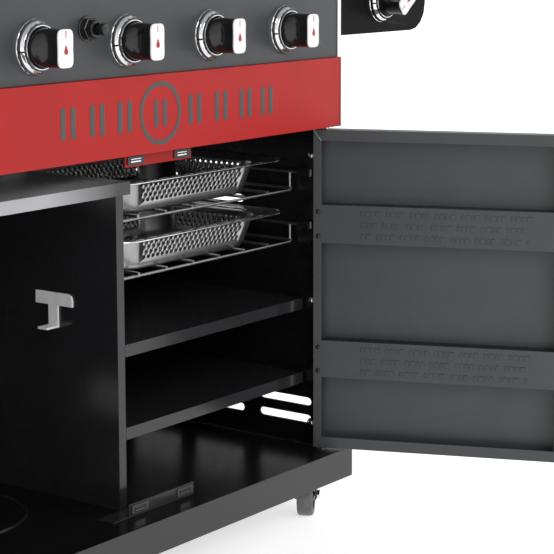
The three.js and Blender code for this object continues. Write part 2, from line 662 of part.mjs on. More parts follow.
// ---- casters ------------------------------------------------------------------------------------
// A swivel fork whose pivot is the Z axis and whose wheel trails towards +X.
function casterFork() {
  const { radius, half, trail } = WHEEL;
  const plateTop = BASE.top - BASE.sheet - GAP;
  const pieces = [
    bar([0, 0, plateTop - 5], [0, 0, plateTop], 22, 16),
    bar([0, 0, 70], [0, 0, plateTop - 4], 12, 12),
    block(-12, trail + 10, -half - 4, half + 4, 68, 73),
    bar([trail, -half - 4, radius], [trail, half + 4, radius], 3.5, 8),
  ];
  for (const y of [-half - 4, half + 1.5]) {
    const cheek = new THREE.Shape();
    cheek.moveTo(-12, 70);
    cheek.lineTo(trail - 9, radius - 6);
    cheek.lineTo(trail + 9, radius - 6);
    cheek.lineTo(trail + 10, 70);
    pieces.push(extruded(cheek, 2.5).rotateX(Math.PI / 2).translate(0, y + 2.5, 0));
  }
  return join(...pieces);
}

function casterWheel() {
  const { radius, half } = WHEEL;
  return cut(
    turned([[0, -half], [radius - 3, -half], [radius, -half + 3], [radius, half - 3],
      [radius - 3, half], [0, half]], 20),
    bar([0, -half - 1, 0], [0, half + 1, 0], 3.9, 8));
}
for (const [corner, x, y, yaw] of CASTER_AT) {
  const swivel = new THREE.Group();
  swivel.position.set(x, y, 0);
  swivel.rotation.z = THREE.MathUtils.degToRad(yaw);
  root.add(swivel);
  add(`caster_fork_${corner}`, casterFork(), DARK_PAINT, swivel);
  add(`caster_wheel_${corner}`, casterWheel(), TYRE_GREY, swivel)
    .position.set(WHEEL.trail, 0, WHEEL.radius);
}

// ---- origin: on the floor under the middle of the whole -----------------------------------------
root.updateMatrixWorld(true);
const bounds = new THREE.Box3().setFromObject(root);
root.position.y = -(bounds.min.y + bounds.max.y) / 2;

export default root;
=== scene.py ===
"""Cabinet gas grill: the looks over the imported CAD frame. Lengths in mm until they are placed."""
import json
import math

import bmesh
import bpy
import numpy as np
from mathutils import Matrix, Vector
from mathutils.geometry import delaunay_2d_cdt

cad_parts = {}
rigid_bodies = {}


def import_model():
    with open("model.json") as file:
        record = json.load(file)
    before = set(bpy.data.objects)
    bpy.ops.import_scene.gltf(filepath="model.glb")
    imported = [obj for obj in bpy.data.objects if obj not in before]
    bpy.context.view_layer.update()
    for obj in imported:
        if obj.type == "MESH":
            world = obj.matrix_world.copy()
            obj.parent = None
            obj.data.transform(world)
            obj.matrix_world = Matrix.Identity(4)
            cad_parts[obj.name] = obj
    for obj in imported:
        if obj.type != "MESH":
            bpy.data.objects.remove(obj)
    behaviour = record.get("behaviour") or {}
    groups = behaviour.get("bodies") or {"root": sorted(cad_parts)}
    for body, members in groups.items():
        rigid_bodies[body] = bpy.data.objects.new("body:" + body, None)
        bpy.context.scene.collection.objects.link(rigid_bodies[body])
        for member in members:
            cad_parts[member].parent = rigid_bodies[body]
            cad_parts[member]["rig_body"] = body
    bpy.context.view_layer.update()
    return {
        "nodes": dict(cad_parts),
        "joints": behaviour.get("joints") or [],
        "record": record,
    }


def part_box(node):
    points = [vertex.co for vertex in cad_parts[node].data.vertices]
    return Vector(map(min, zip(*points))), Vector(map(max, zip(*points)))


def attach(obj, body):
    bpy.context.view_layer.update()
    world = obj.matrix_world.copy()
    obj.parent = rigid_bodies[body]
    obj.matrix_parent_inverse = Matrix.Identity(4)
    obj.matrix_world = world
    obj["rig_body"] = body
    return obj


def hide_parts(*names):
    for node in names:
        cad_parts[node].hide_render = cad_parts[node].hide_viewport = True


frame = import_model()
NODES = frame["nodes"]
JOINTS = {joint["name"]: joint for joint in frame["joints"]}
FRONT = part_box("red_fascia")[0][1]
MM = 0.001


def at(x, y, z):
    """A point given in mm from the centre line, the fascia's front plane and the floor."""
    return Vector((x * MM, FRONT + y * MM, z * MM))


def turn_z(degrees):
    return Matrix.Rotation(math.radians(degrees), 4, "Z")


PLACE = Matrix.Translation(at(0, 0, 0)) @ Matrix.Scale(MM, 4)


# ---- materials ----------------------------------------------------------------------------------
def material(name, base, rough, metal=0.0, spread=0.12, grain=60.0, bump=0.03, bump_grain=900.0,
             stretch=(1, 1, 1), wear=None, specular=0.5):
    """Principled surface whose colour, roughness and relief all vary through noise."""
    mat = bpy.data.materials.new(name)
    mat.use_nodes = True
    nodes, links = mat.node_tree.nodes, mat.node_tree.links
    shader = nodes["Principled BSDF"]
    shader.inputs["Metallic"].default_value = metal
    shader.inputs["Specular IOR Level"].default_value = specular
    coords = nodes.new("ShaderNodeTexCoord")
    mapping = nodes.new("ShaderNodeMapping")
    mapping.inputs["Scale"].default_value = stretch
    links.new(coords.outputs["Object"], mapping.inputs["Vector"])

    def noise(scale, detail=3.0, roughness=0.55):
        node = nodes.new("ShaderNodeTexNoise")
        node.inputs["Scale"].default_value = scale
        node.inputs["Detail"].default_value = detail
        node.inputs["Roughness"].default_value = roughness
        links.new(mapping.outputs["Vector"], node.inputs["Vector"])
        return node.outputs["Fac"]

    ramp = nodes.new("ShaderNodeValToRGB")
    ramp.color_ramp.elements[0].position = 0.3
    ramp.color_ramp.elements[1].position = 0.7
    ramp.color_ramp.elements[0].color = [c * (1 - spread) for c in base] + [1]
    ramp.color_ramp.elements[1].color = [min(1, c * (1 + spread)) for c in base] + [1]
    links.new(noise(grain), ramp.inputs["Fac"])
    colour = ramp.outputs["Color"]
    if wear:
        spots = nodes.new("ShaderNodeValToRGB")
        spots.color_ramp.elements[0].position = 0.66
        spots.color_ramp.elements[1].position = 0.8
        spots.color_ramp.elements[1].color = [0.55] * 3 + [1]
        links.new(noise(170.0, 6.0, 0.7), spots.inputs["Fac"])
        mix = nodes.new("ShaderNodeMix")
        mix.data_type = "RGBA"
        links.new(spots.outputs["Color"], mix.inputs["Factor"])
        links.new(colour, mix.inputs["A"])
        mix.inputs["B"].default_value = list(wear) + [1]
        colour = mix.outputs["Result"]
    links.new(colour, shader.inputs["Base Color"])
    spread_rough = nodes.new("ShaderNodeMapRange")
    spread_rough.inputs["To Min"].default_value = rough[0]
    spread_rough.inputs["To Max"].default_value = rough[1]
    links.new(noise(grain * 2.3, 5.0), spread_rough.inputs["Value"])
    links.new(spread_rough.outputs["Result"], shader.inputs["Roughness"])
    relief = nodes.new("ShaderNodeBump")
    relief.inputs["Strength"].default_value = bump
    relief.inputs["Distance"].default_value = 0.0006
    links.new(noise(bump_grain, 2.0), relief.inputs["Height"])
    links.new(relief.outputs["Normal"], shader.inputs["Normal"])
    return mat


M = {
    "grey_paint": material("grey_powder_coat", (0.044, 0.047, 0.050), (0.34, 0.46), bump=0.10,
                           bump_grain=1400, spread=0.07, grain=22, wear=(0.062, 0.064, 0.066)),
    "panel_paint": material("panel_powder_coat", (0.034, 0.0365, 0.039), (0.34, 0.46), bump=0.10,
                            bump_grain=1400, spread=0.07, grain=22, wear=(0.05, 0.052, 0.054)),
    "dark_paint": material("dark_powder_coat", (0.016, 0.0165, 0.018), (0.28, 0.4), bump=0.10,
                           bump_grain=1400, spread=0.1, grain=22, wear=(0.03, 0.03, 0.032)),
    "gloss_sheet": material("gloss_black_sheet", (0.018, 0.018, 0.020), (0.13, 0.2), bump=0.03,
                            bump_grain=1100, spread=0.1, grain=18, wear=(0.03, 0.03, 0.032)),
    "shield_sheet": material("shield_gloss_sheet", (0.030, 0.030, 0.032), (0.13, 0.2), bump=0.03,
                             bump_grain=1100, spread=0.1, grain=18, wear=(0.04, 0.04, 0.042)),
    # a lighter copy of the grey paint: painted light, for faces lit low on the base apron
    "apron_paint": material("grey_coat_painted_light", (0.060, 0.062, 0.064), (0.3, 0.4), bump=0.06,
                            bump_grain=1400, spread=0.06, grain=22, wear=(0.08, 0.08, 0.082)),
    "wing_paint": material("side_shelf_coat", (0.007, 0.0073, 0.008), (0.3, 0.4), bump=0.06,
                           bump_grain=1400, spread=0.1, grain=22, wear=(0.014, 0.014, 0.015),
                           specular=0.04),
    # painted shade: this near-black base stands for tops that mirror the dark bay; the other faces
    # get a grey of their own below
    "gloss_painted_shade_top": material("gloss_coat_painted_shade_top", (0.0075, 0.0075, 0.008), (0.2, 0.28), bump=0.04,
                           bump_grain=1100, spread=0.1, grain=18, wear=(0.014, 0.014, 0.015),
                           specular=0.06),
    "near_black_paint": material("black_powder_coat", (0.006, 0.006, 0.0065), (0.22, 0.32),
                                 bump=0.08, bump_grain=1400, spread=0.15, grain=22,
                                 wear=(0.014, 0.014, 0.0145)),
    "red_paint": material("red_powder_coat", (0.37, 0.010, 0.008), (0.38, 0.5), bump=0.06,
                          bump_grain=1400, spread=0.05, grain=12, wear=(0.32, 0.01, 0.008),
                          specular=0.26),
    "stainless": material("brushed_stainless", (0.60, 0.595, 0.58), (0.22, 0.38), metal=1.0,
                          stretch=(1, 14, 14), grain=60, bump=0.05, bump_grain=500, spread=0.12),
    "tray_steel": material("pressed_stainless", (0.40, 0.40, 0.395), (0.24, 0.38), metal=1.0,
                           grain=30, bump=0.05, bump_grain=260, spread=0.12,
                           wear=(0.36, 0.355, 0.35)),
    "chrome": material("polished_chrome", (0.80, 0.80, 0.81), (0.05, 0.12), metal=1.0, grain=40,
                       bump=0.01, spread=0.05),
    "wire": material("plated_wire", (0.36, 0.36, 0.37), (0.25, 0.42), metal=1.0, grain=160,
                     bump=0.08, spread=0.2, wear=(0.22, 0.21, 0.20)),
    "zinc_sheet": material("zinc_plated_sheet", (0.82, 0.82, 0.825), (0.42, 0.55),
                           grain=60, bump=0.05, bump_grain=300, spread=0.08),
    "cast_iron": material("enamelled_cast_iron", (0.016, 0.016, 0.018), (0.4, 0.65), metal=0.2,
                          grain=90, bump=0.5, bump_grain=420, spread=0.3),
    "black_plastic": material("black_plastic", (0.007, 0.007, 0.0075), (0.12, 0.22), grain=80,
                              bump=0.02, bump_grain=1600, spread=0.2),
    "silver_trim": material("satin_aluminium", (0.78, 0.78, 0.77), (0.25, 0.4), metal=1.0,
                            stretch=(14, 14, 1), grain=50, bump=0.04, spread=0.08),
    "wheel_grey": material("grey_tread", (0.095, 0.095, 0.098), (0.4, 0.55), grain=120, bump=0.2,
                           bump_grain=700, spread=0.2, wear=(0.15, 0.145, 0.14)),
    "face_white": material("satin_white_face", (0.76, 0.77, 0.76), (0.25, 0.4), grain=90,
                           bump=0.03, spread=0.03),
    "mark_red": material("mark_red", (0.36, 0.012, 0.014), (0.35, 0.5), grain=300, spread=0.1),
    "print_grey": material("printed_grey", (0.055, 0.055, 0.055), (0.4, 0.55), grain=120,
                           spread=0.06, bump=0.05),
}


def painted_reflection_to_left(look, light, light_x, dark_x):
    """Paints a glossy sheet lighter towards -X: a painted reflection of the open side of the bay.
    """
    nodes, links = M[look].node_tree.nodes, M[look].node_tree.links
    base = nodes["Principled BSDF"].inputs["Base Color"]
    before = base.links[0].from_socket
    coords = nodes.new("ShaderNodeTexCoord")
    split = nodes.new("ShaderNodeSeparateXYZ")
    span = nodes.new("ShaderNodeMapRange")
    span.inputs["From Min"].default_value = dark_x
    span.inputs["From Max"].default_value = light_x
    mix = nodes.new("ShaderNodeMix")
    mix.data_type = "RGBA"
    mix.inputs["B"].default_value = light
    links.new(coords.outputs["Object"], split.inputs["Vector"])
    links.new(split.outputs["X"], span.inputs["Value"])
    links.new(span.outputs["Result"], mix.inputs["Factor"])
    links.new(before, mix.inputs["A"])
    links.new(mix.outputs["Result"], base)


def dark_tops_painted_shade(look, colour, specular):
    """Gives the faces of a sheet that don't face up a colour and a specular level of their own; the
    faces that look up keep the darker, less glossy base: painted shade on the tops.
    """
    nodes, links = M[look].node_tree.nodes, M[look].node_tree.links
    shader = nodes["Principled BSDF"]
    base = shader.inputs["Base Color"]
    before = base.links[0].from_socket
    coords = nodes.new("ShaderNodeTexCoord")
    split = nodes.new("ShaderNodeSeparateXYZ")
    mix = nodes.new("ShaderNodeMix")
    mix.data_type = "RGBA"
    mix.inputs["A"].default_value = colour
    level = nodes.new("ShaderNodeMapRange")
    level.inputs["To Min"].default_value = specular
    level.inputs["To Max"].default_value = shader.inputs["Specular IOR Level"].default_value
    links.new(coords.outputs["Normal"], split.inputs["Vector"])
    links.new(split.outputs["Z"], mix.inputs["Factor"])
    links.new(before, mix.inputs["B"])
    links.new(mix.outputs["Result"], base)
    links.new(split.outputs["Z"], level.inputs["Value"])
    links.new(level.outputs["Result"], shader.inputs["Specular IOR Level"])


# painted reflection: the shield sheet's colour turns light grey towards -X
painted_reflection_to_left("shield_sheet", (0.38, 0.38, 0.40, 1), -0.19, -0.06)
# painted shade: the base tray's faces that look up stay near-black and less glossy than its grey
# front
dark_tops_painted_shade("gloss_painted_shade_top", (0.018, 0.018, 0.020, 1), 0.5)


# ---- mesh helpers -------------------------------------------------------------------------------
def piece(name, verts, faces, look, body, slot, matrix=PLACE, smooth=30, bevel=0.0):
    """A closed or sheet mesh from points in mm, riding on a CAD body."""
    mesh = bpy.data.meshes.new(name)
    mesh.from_pydata([matrix @ Vector(v) for v in verts], [], faces)
    return finish_mesh(name, mesh, look, body, smooth, bevel)


def finish_mesh(name, mesh, look, body, smooth=30, bevel=0.0):
    work = bmesh.new()
    work.from_mesh(mesh)
    bmesh.ops.remove_doubles(work, verts=work.verts, dist=2e-6)
    bmesh.ops.recalc_face_normals(work, faces=work.faces)
    work.to_mesh(mesh)
    work.free()
    obj = bpy.data.objects.new(name, mesh)
    bpy.context.scene.collection.objects.link(obj)
    mesh.polygons.foreach_set("use_smooth", [True] * len(mesh.polygons))
    mesh.set_sharp_from_angle(angle=math.radians(smooth))
    mesh.materials.append(M[look])
    if bevel:
        mod = obj.modifiers.new("edge", "BEVEL")
        mod.width = bevel * MM
        mod.segments = 2
        mod.limit_method = "ANGLE"
        mod.angle_limit = math.radians(35)
        mod.harden_normals = True
    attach(obj, body)
    return obj


def refined(node, look, bevel):
    """A copy of a CAD node with clean faces, rounded edges and smooth curves stands for it."""
    mesh = NODES[node].data.copy()
    mesh.materials.clear()
    work = bmesh.new()
    work.from_mesh(mesh)
    bmesh.ops.remove_doubles(work, verts=work.verts, dist=2e-6)
    bmesh.ops.dissolve_limit(work, angle_limit=math.radians(1), verts=work.verts,
                             edges=work.edges)
    work.to_mesh(mesh)
    work.free()
    obj = finish_mesh(node + "_finished", mesh, look, NODES[node]["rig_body"], 32, bevel)
    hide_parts(node)


def ring_faces(rings, steps):
    """Quads between neighbouring rings of as many points each."""
    return [(k * steps + i, k * steps + (i + 1) % steps, (k + 1) * steps + (i + 1) % steps,
             (k + 1) * steps + i) for k in range(rings - 1) for i in range(steps)]


def lathe(profile, steps=48):
    """Rings of [radius, height] pairs turned round Z."""
    verts = []
    for radius, height in profile:
        for i in range(steps):
            a = 2 * math.pi * i / steps
            verts.append((radius * math.cos(a), radius * math.sin(a), height))
    return verts, ring_faces(len(profile), steps)


def capped(verts, faces, steps):
    """Closes the first and last ring of a lathe or loft."""
    last = len(verts) - steps
    return verts, faces + [tuple(range(steps)), tuple(range(last, last + steps))]


WAIST_FROM_POWER = 3.2  # only sections squarer than this are drawn in


def loft(sections, steps=48, waist=0.0):
    """Superellipse sections (height, half width, half height, exponent), drawn in by a waist."""
    verts = []
    for height, wide, tall, power in sections:
        for i in range(steps):
            a = 2 * math.pi * i / steps
            c, s = math.cos(a), math.sin(a)
            up = math.copysign(abs(s) ** (2 / power), s)
            narrow = 1 - waist * (1 - up * up) if power > WAIST_FROM_POWER else 1
            verts.append((math.copysign(abs(c) ** (2 / power), c) * wide * narrow, up * tall,
                          height))
    return capped(verts, ring_faces(len(sections), steps), steps)


def slab(x0, x1, y0, y1, z0, z1):
    verts = [(x, y, z) for z in (z0, z1) for y in (y0, y1) for x in (x0, x1)]
    faces = [(0, 2, 3, 1), (4, 5, 7, 6), (0, 1, 5, 4), (2, 6, 7, 3), (0, 4, 6, 2), (1, 3, 7, 5)]
    return verts, faces


def several(parts):
    """Joins (verts, faces) pairs into one."""
    verts, faces = [], []
    for some, more in parts:
        base = len(verts)
        verts += some
        faces += [tuple(base + i for i in face) for face in more]
    return verts, faces


def moved(part, matrix):
    return [tuple(matrix @ Vector(v)) for v in part[0]], part[1]


def outline_prism(points, y0, y1):
    """A flat outline in X and Z, made thick from y0 to y1."""
    count = len(points)
    verts = [(x, y, z) for y in (y0, y1) for x, z in points]
    faces = [tuple(range(count)), tuple(range(count, 2 * count))]
    faces += [(i, (i + 1) % count, count + (i + 1) % count, count + i) for i in range(count)]
    return verts, faces


def stadium(cx, cz, half_wide, half_tall, radius, steps=5):
    points = []
    for k, (sx, sz) in enumerate(((1, -1), (1, 1), (-1, 1), (-1, -1))):
        for i in range(steps + 1):
            a = math.radians(-90 + 90 * k + 90 * i / steps)
            points.append((cx + sx * (half_wide - radius) + radius * math.cos(a),
                           cz + sz * (half_tall - radius) + radius * math.sin(a)))
    return points


def wire(name, strands, radius, look, body, node=None):
    """Round wire along several strands of points in mm."""
    curve = bpy.data.curves.new(name, "CURVE")
    curve.dimensions = "3D"
    curve.bevel_depth = radius * MM
    curve.bevel_resolution = 3
    curve.use_fill_caps = True
    for points in strands:
        spline = curve.splines.new("POLY")
        spline.points.add(len(points) - 1)
        for control, point in zip(spline.points, points):
            control.co = (*(PLACE @ Vector(point)), 1)
    obj = bpy.data.objects.new(name, curve)
    bpy.context.scene.collection.objects.link(obj)
    curve.materials.append(M[look])
    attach(obj, body)
    if node:
        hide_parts(node)


FACE_FRONT = Matrix.Rotation(math.radians(90), 4, "X")  # turns +Z towards -Y, the front


# ---- perforated charcoal trays ------------------------------------------------------------------
TRAY_FLANGE = (18, 48, 20, 16)
TRAY_CORNER, TRAY_RIM_CORNER, TRAY_TAPER, TRAY_DROP = 36, 40, 11, 46
HOLE_R, HOLE_PITCH, ROW_PITCH = 2.05, 10.2, 7.4
RIDGE_HALF, RIDGE_HIGH = 26, 25
RIM_SLOT_R, RIM_SLOT_PITCH = 1.7, 25
HOLE_ROWS = 5
TRAY_SKIN = 0.9


def perforated(outline, holes, cuts):
    """Triangles of a flat outline, with holes given as (x0, y0, x1, y1, radius) slots."""
    verts, edges = [], []

    def loop(points):
        base = len(verts)
        verts.extend(points)
        edges.extend((base + i, base + (i + 1) % len(points)) for i in range(len(points)))

    loop(outline)
    for x0, y0, x1, y1, radius in holes:
        lean = math.atan2(y1 - y0, x1 - x0)
        ring = []
        for cx, cy, start in ((x1, y1, lean - math.pi / 2), (x0, y0, lean + math.pi / 2)):
            ring += [(cx + radius * math.cos(start + math.pi * i / 5),
                      cy + radius * math.sin(start + math.pi * i / 5)) for i in range(6)]
        if (x0, y0) == (x1, y1):
            ring = [p for i, p in enumerate(ring) if i not in (5, 11)]
        loop(ring)
    for a, b in cuts:
        edges.append((len(verts), len(verts) + 1))
        verts.extend((a, b))
    out, _, tris, *_ = delaunay_2d_cdt([Vector(p) for p in verts], edges, [], 0, 1e-5)
    points = np.array([tuple(p) for p in out])
    middles = points[np.array(tris)].mean(axis=1)
    keep = np.ones(len(tris), bool)
    for x0, y0, x1, y1, radius in holes:
        a, run = np.array((x0, y0)), np.array((x1 - x0, y1 - y0))
        t = np.clip(((middles - a) @ run) / max(run @ run, 1e-9), 0, 1)
        keep &= np.hypot(*(middles - a - t[:, None] * run).T) > radius * 0.97
    edge = np.array(outline)
    inside = np.zeros(len(tris), bool)
    for p, q in zip(edge, np.roll(edge, -1, axis=0)):
        crosses = (p[1] > middles[:, 1]) != (q[1] > middles[:, 1])
        with np.errstate(divide="ignore", invalid="ignore"):
            at_x = (q[0] - p[0]) * (middles[:, 1] - p[1]) / (q[1] - p[1]) + p[0]
        inside ^= crosses & (middles[:, 0] < at_x)
    faces = [tuple(t) for t, k in zip(tris, keep & inside) if k]
    return points.tolist(), faces


def charcoal_tray(node):
    low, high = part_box(node)
    x0, x1 = low[0] / MM, high[0] / MM
    y0, y1 = (low[1] - FRONT) / MM, (high[1] - FRONT) / MM
    top = high[2] / MM - TRAY_SKIN / 2
    left, right, front, rear = (x0 + TRAY_FLANGE[0], x1 - TRAY_FLANGE[1], y0 + TRAY_FLANGE[2],
                                y1 - TRAY_FLANGE[3])
    mouth_box = (left, right, front, rear)
    steps = 7

    def ring(inset, corner, box=mouth_box):
        """Corner arcs and straight sides of the tray's plan, inset from a box."""
        left, right, front, rear = box
        points = []
        corners = ((right, front, -90), (right, rear, 0), (left, rear, 90), (left, front, 180))
        for cx, cy, start in corners:
            sx, sy = (-1 if cx == right else 1), (-1 if cy == rear else 1)
            mx, my = cx + sx * (inset + corner), cy + sy * (inset + corner)
            for i in range(steps + 1):
                a = math.radians(start + 90 * i / steps)
                points.append(Vector((mx + corner * math.cos(a), my + corner * math.sin(a))))
        return points

    floor = -TRAY_DROP + TRAY_SKIN
    profile = [(-4.0, 0.0), (-2.0, -0.3), (-0.6, -1.4), (0.1, -3.4),
               (TRAY_TAPER - 2.0, floor + 9.0), (TRAY_TAPER - 0.6, floor + 4.6),
               (TRAY_TAPER + 1.6, floor + 1.8), (TRAY_TAPER + 4.6, floor + 0.3),
               (TRAY_TAPER + 8.0, floor)]
    levels = [0.0]
    for (a, b), (c, d) in zip(profile, profile[1:]):
        levels.append(levels[-1] + math.hypot(c - a, d - b))
    rings = [ring(inset, TRAY_CORNER - max(0.0, inset - TRAY_TAPER) * 0.4)
             for inset, _ in profile]
    mouth = rings[3]
    marks = [0.0]
    for p, q in zip(mouth, mouth[1:] + mouth[:1]):
        marks.append(marks[-1] + (q - p).length)

    def bent(s, h):
        """A point of the unrolled wall, s along the mouth and h down the profile."""
        k = min(int(np.searchsorted(marks, s + 1e-6)) - 1, len(mouth) - 1)
        t = (s - marks[k]) / (marks[k + 1] - marks[k])
        m = min(max(int(np.searchsorted(levels, h + 1e-6)) - 1, 0), len(levels) - 2)
        u = (h - levels[m]) / (levels[m + 1] - levels[m])
        ends = []
        for level in (m, m + 1):
            loop = rings[level]
            ends.append(loop[k].lerp(loop[(k + 1) % len(loop)], t))
        flat = ends[0].lerp(ends[1], u)
        z = profile[m][1] * (1 - u) + profile[m + 1][1] * u
        return flat.x, flat.y, top + z

    holes = []
    for side in range(4):
        start, end = marks[(side + 1) * (steps + 1) - 1], marks[(side + 1) * (steps + 1)]
        for row in range(HOLE_ROWS):
            h = levels[3] + 4.4 + row * ROW_PITCH
            count = int((end - start - 6) // HOLE_PITCH)
            begin = (start + end - (count - 1) * HOLE_PITCH) / 2 + (row % 2 - 0.5) * HOLE_PITCH / 2
            for i in range(count):
                s = begin + i * HOLE_PITCH
                if start + 4 < s < end - 4 and h + HOLE_R < levels[4] + 1:
                    holes.append((s, h, s, h, HOLE_R))
    tall, around = levels[-1], marks[-1]
    edge = [(0, h) for h in levels[::-1]] + [(s, 0) for s in marks[1:]]
    edge += [(around, h) for h in levels[1:]] + [(s, tall) for s in marks[-2:0:-1]]
    cuts = [((0.01, h), (around - 0.01, h)) for h in levels[1:-1]]
    cuts += [((s, 0.01), (s, tall - 0.01)) for s in marks[1:-1]]
    points, faces = perforated(edge, holes, cuts)
    parts = [([bent(min(max(s, 0), around), min(max(h, 0), tall)) for s, h in points], faces)]

    base = [tuple(p) for p in rings[-1]]
    middle = (left + right) / 2
    low_x, high_x = min(p[0] for p in base) + 8, max(p[0] for p in base) - 8
    low_y, high_y = min(p[1] for p in base) + 8, max(p[1] for p in base) - 8
    holes, row, y = [], 0, low_y
    while y < high_y:
        x = low_x + (row % 2) * HOLE_PITCH / 2
        while x < high_x:
            if min(abs(x - middle - k * RIDGE_HALF) for k in (-1, 0, 1)) > HOLE_R + 1:
                holes.append((x, y, x, y, HOLE_R))
            x += HOLE_PITCH
        y += HOLE_PITCH
        row += 1
    cuts = [((middle + k * RIDGE_HALF, low_y - 7), (middle + k * RIDGE_HALF, high_y + 7))
            for k in (-1, 0, 1)]
    points, faces = perforated(base, holes, cuts)

    def ridge(x, y):
        near = max(0.0, 1 - abs(x - middle) / RIDGE_HALF)
        ends = min(1.0, (y - low_y + 8) / 10, (high_y + 8 - y) / 10)
        return near * RIDGE_HIGH * max(0.0, ends)

    parts.append(([(x, y, top + floor + ridge(x, y)) for x, y in points], faces))

    inner = [tuple(p) for p in rings[0]]
    rim_box = (x0 + 1, x1 - 1, y0 + 1, y1 - 1)
    outer = [tuple(p) for p in ring(0, TRAY_RIM_CORNER, rim_box)]
    slots = []
    for (ax, ay), (bx, by) in (((x0 + 30, y0 + 9), (x1 - 60, y0 + 9)),
                               ((x0 + 30, y1 - 8), (x1 - 60, y1 - 8)),
                               ((x1 - 13, y0 + 34), (x1 - 13, y1 - 34)),
                               ((x1 - 33, y0 + 34), (x1 - 33, y1 - 34)),
                               ((x0 + 8, y0 + 34), (x0 + 8, y1 - 34))):
        run = Vector((bx - ax, by - ay))
        count = int(run.length // RIM_SLOT_PITCH)
        for i in range(count):
            a = run * ((i + 0.14) / count)
            b = run * ((i + 0.86) / count)
            slots.append((ax + a.x, ay + a.y, ax + b.x, ay + b.y, RIM_SLOT_R))
    points, faces = perforated(outer, slots,
                               [(inner[i - 1], inner[i]) for i in range(len(inner))])
    keep = []
    ring_edge = np.array(inner)
    for face in faces:
        cx, cy = np.mean([points[i] for i in face], axis=0)
        odd = False
        for p, q in zip(ring_edge, np.roll(ring_edge, -1, axis=0)):
            if (p[1] > cy) != (q[1] > cy):
                odd ^= cx < (q[0] - p[0]) * (cy - p[1]) / (q[1] - p[1]) + p[0]
        if not odd:
            keep.append(face)
    parts.append(([(x, y, top) for x, y in points], keep))
    verts, faces = several(parts)
    tray = piece(node + "_pressed", verts, faces, "tray_steel", node, "stainless", smooth=24)
    skin = tray.modifiers.new("skin", "SOLIDIFY")
    skin.thickness = TRAY_SKIN * MM
    skin.offset = 0
    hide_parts(node)
    rim = [(x, y, top) for x, y in outer]
    wire(node + "_rolled_rim", [rim + rim[:2]], 1.1, "chrome", node)


for name in ("upper_charcoal_tray", "lower_charcoal_tray"):
    charcoal_tray(name)


# ---- wire racks ---------------------------------------------------------------------------------
RACK = (-36, 354, 77, 440)  # left, right, front, rear
RACK_RAIL = 28
RACK_WIRE = 2.2
RACK_PITCH = 57
SLEEVE_FRONT = 62.5
FLUTES, FLUTE_PITCH = 6, 3.3


def wire_rack(node):
    low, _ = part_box(node)
    z = low[2] / MM + 6.5
    left, right, front, rear = RACK
    rail = RACK_RAIL
    strands = [
        [(left + 3, front, z), (right, front, z), (right, front, z + rail)],
        [(left + 3, rear, z), (right, rear, z), (right, rear, z + rail)],
        [(left + 3, 258, z - 4), (right, 258, z - 4)],
        [(right, front, z + rail), (right, rear, z + rail)],
        [(right, rear - 60, z), (right, rear - 60, z + rail)],
        [(right, front + 120, z), (right, front + 120, z + rail)],
    ]
    x = right
    while x > left:
        strands.append([(x, front - 3, z + 3.4), (x, front + 3, z + 3.6), (x, rear, z + 3.6)])
        x -= RACK_PITCH
    wire(node + "_wires", strands, RACK_WIRE, "wire", "frame", node)
    hooks = [[(right, front, z + rail), (right, 41, z + rail)],
             [(right, rear - 60, z + rail), (363, rear - 60, z + rail)]]
    wire(node + "_hooks", hooks, RACK_WIRE, "wire", "frame")
    flutes = [(2.4, 0)]
    for i in range(FLUTES):
        for radius, height in ((4.9, 0.6), (4.9, 2.2), (3.6, 2.8), (3.6, 3.4)):
            flutes.append((radius, height + i * FLUTE_PITCH))
    sleeve = moved(lathe(flutes + [(2.4, 20.4)], 20),
                   Matrix.Translation((right, SLEEVE_FRONT, z + rail)) @ FACE_FRONT)
    tab = slab(right - 5, 363.7, 40.2, 41.8, z + rail - 5, z + rail + 5)
    piece(node + "_sleeve", *several([sleeve, tab]), "black_plastic", "frame", "black_plastic",
          smooth=25)


for name in ("upper_wire_rack", "lower_wire_rack"):
    wire_rack(name)


# ---- knobs --------------------------------------------------------------------------------------
BEZEL_PROFILE = [(33.4, -0.5), (33.9, 0.4), (33.9, 1.8), (33.3, 2.8), (32.2, 3.3), (29.3, 9.6),
                 (28.6, 10.3), (27.9, 10.4), (27.5, 9.6), (27.3, 9.2), (26.9, 11.6), (26.4, 12.4),
                 (25.5, 12.4), (24.9, 11.6), (24.5, 8.0), (24.2, 0.4)]
KNOB_WAIST = 0.14
KNOB_BACK = -6  # a knob starts this far in front of its panel
KNOB_SECTIONS = [(0.4, 22.6, 22.6, 2), (6.0, 23.4, 23.4, 2), (9.0, 23.4, 23.4, 2),
                 (12.0, 22.0, 23.3, 2.1), (15.0, 18.4, 23.2, 2.5), (19.0, 15.4, 23.1, 3.0),
                 (24.0, 14.0, 22.8, 3.3), (32.0, 13.4, 22.6, 3.6), (38.0, 13.8, 22.6, 4.0),
                 (41.2, 14.4, 22.7, 4.0), (42.0, 14.0, 22.4, 4.0)]
FACE_SECTIONS = [(41.4, 14.4, 22.6, 4.0), (42.9, 14.4, 22.6, 4.0), (43.3, 13.8, 22.0, 4.0)]
MARK_SKIN = (-49.55, -49.2)
BURNER_X = (-246, -82, 82, 246)
KNOB_HEIGHT, PANEL_FRONT = 720, 6
SIDE_KNOB = {"x": 531, "z": 752, "front": 36, "lean": -128}


def teardrop(cx, cz, size):
    points = []
    for i in range(24):
        a = 2 * math.pi * i / 24
        pull = 1 + 1.1 * max(0.0, math.sin(a)) ** 3
        points.append((cx + size * math.cos(a) * (1.15 - 0.25 * pull),
                       cz + size * math.sin(a) * pull))
    return points


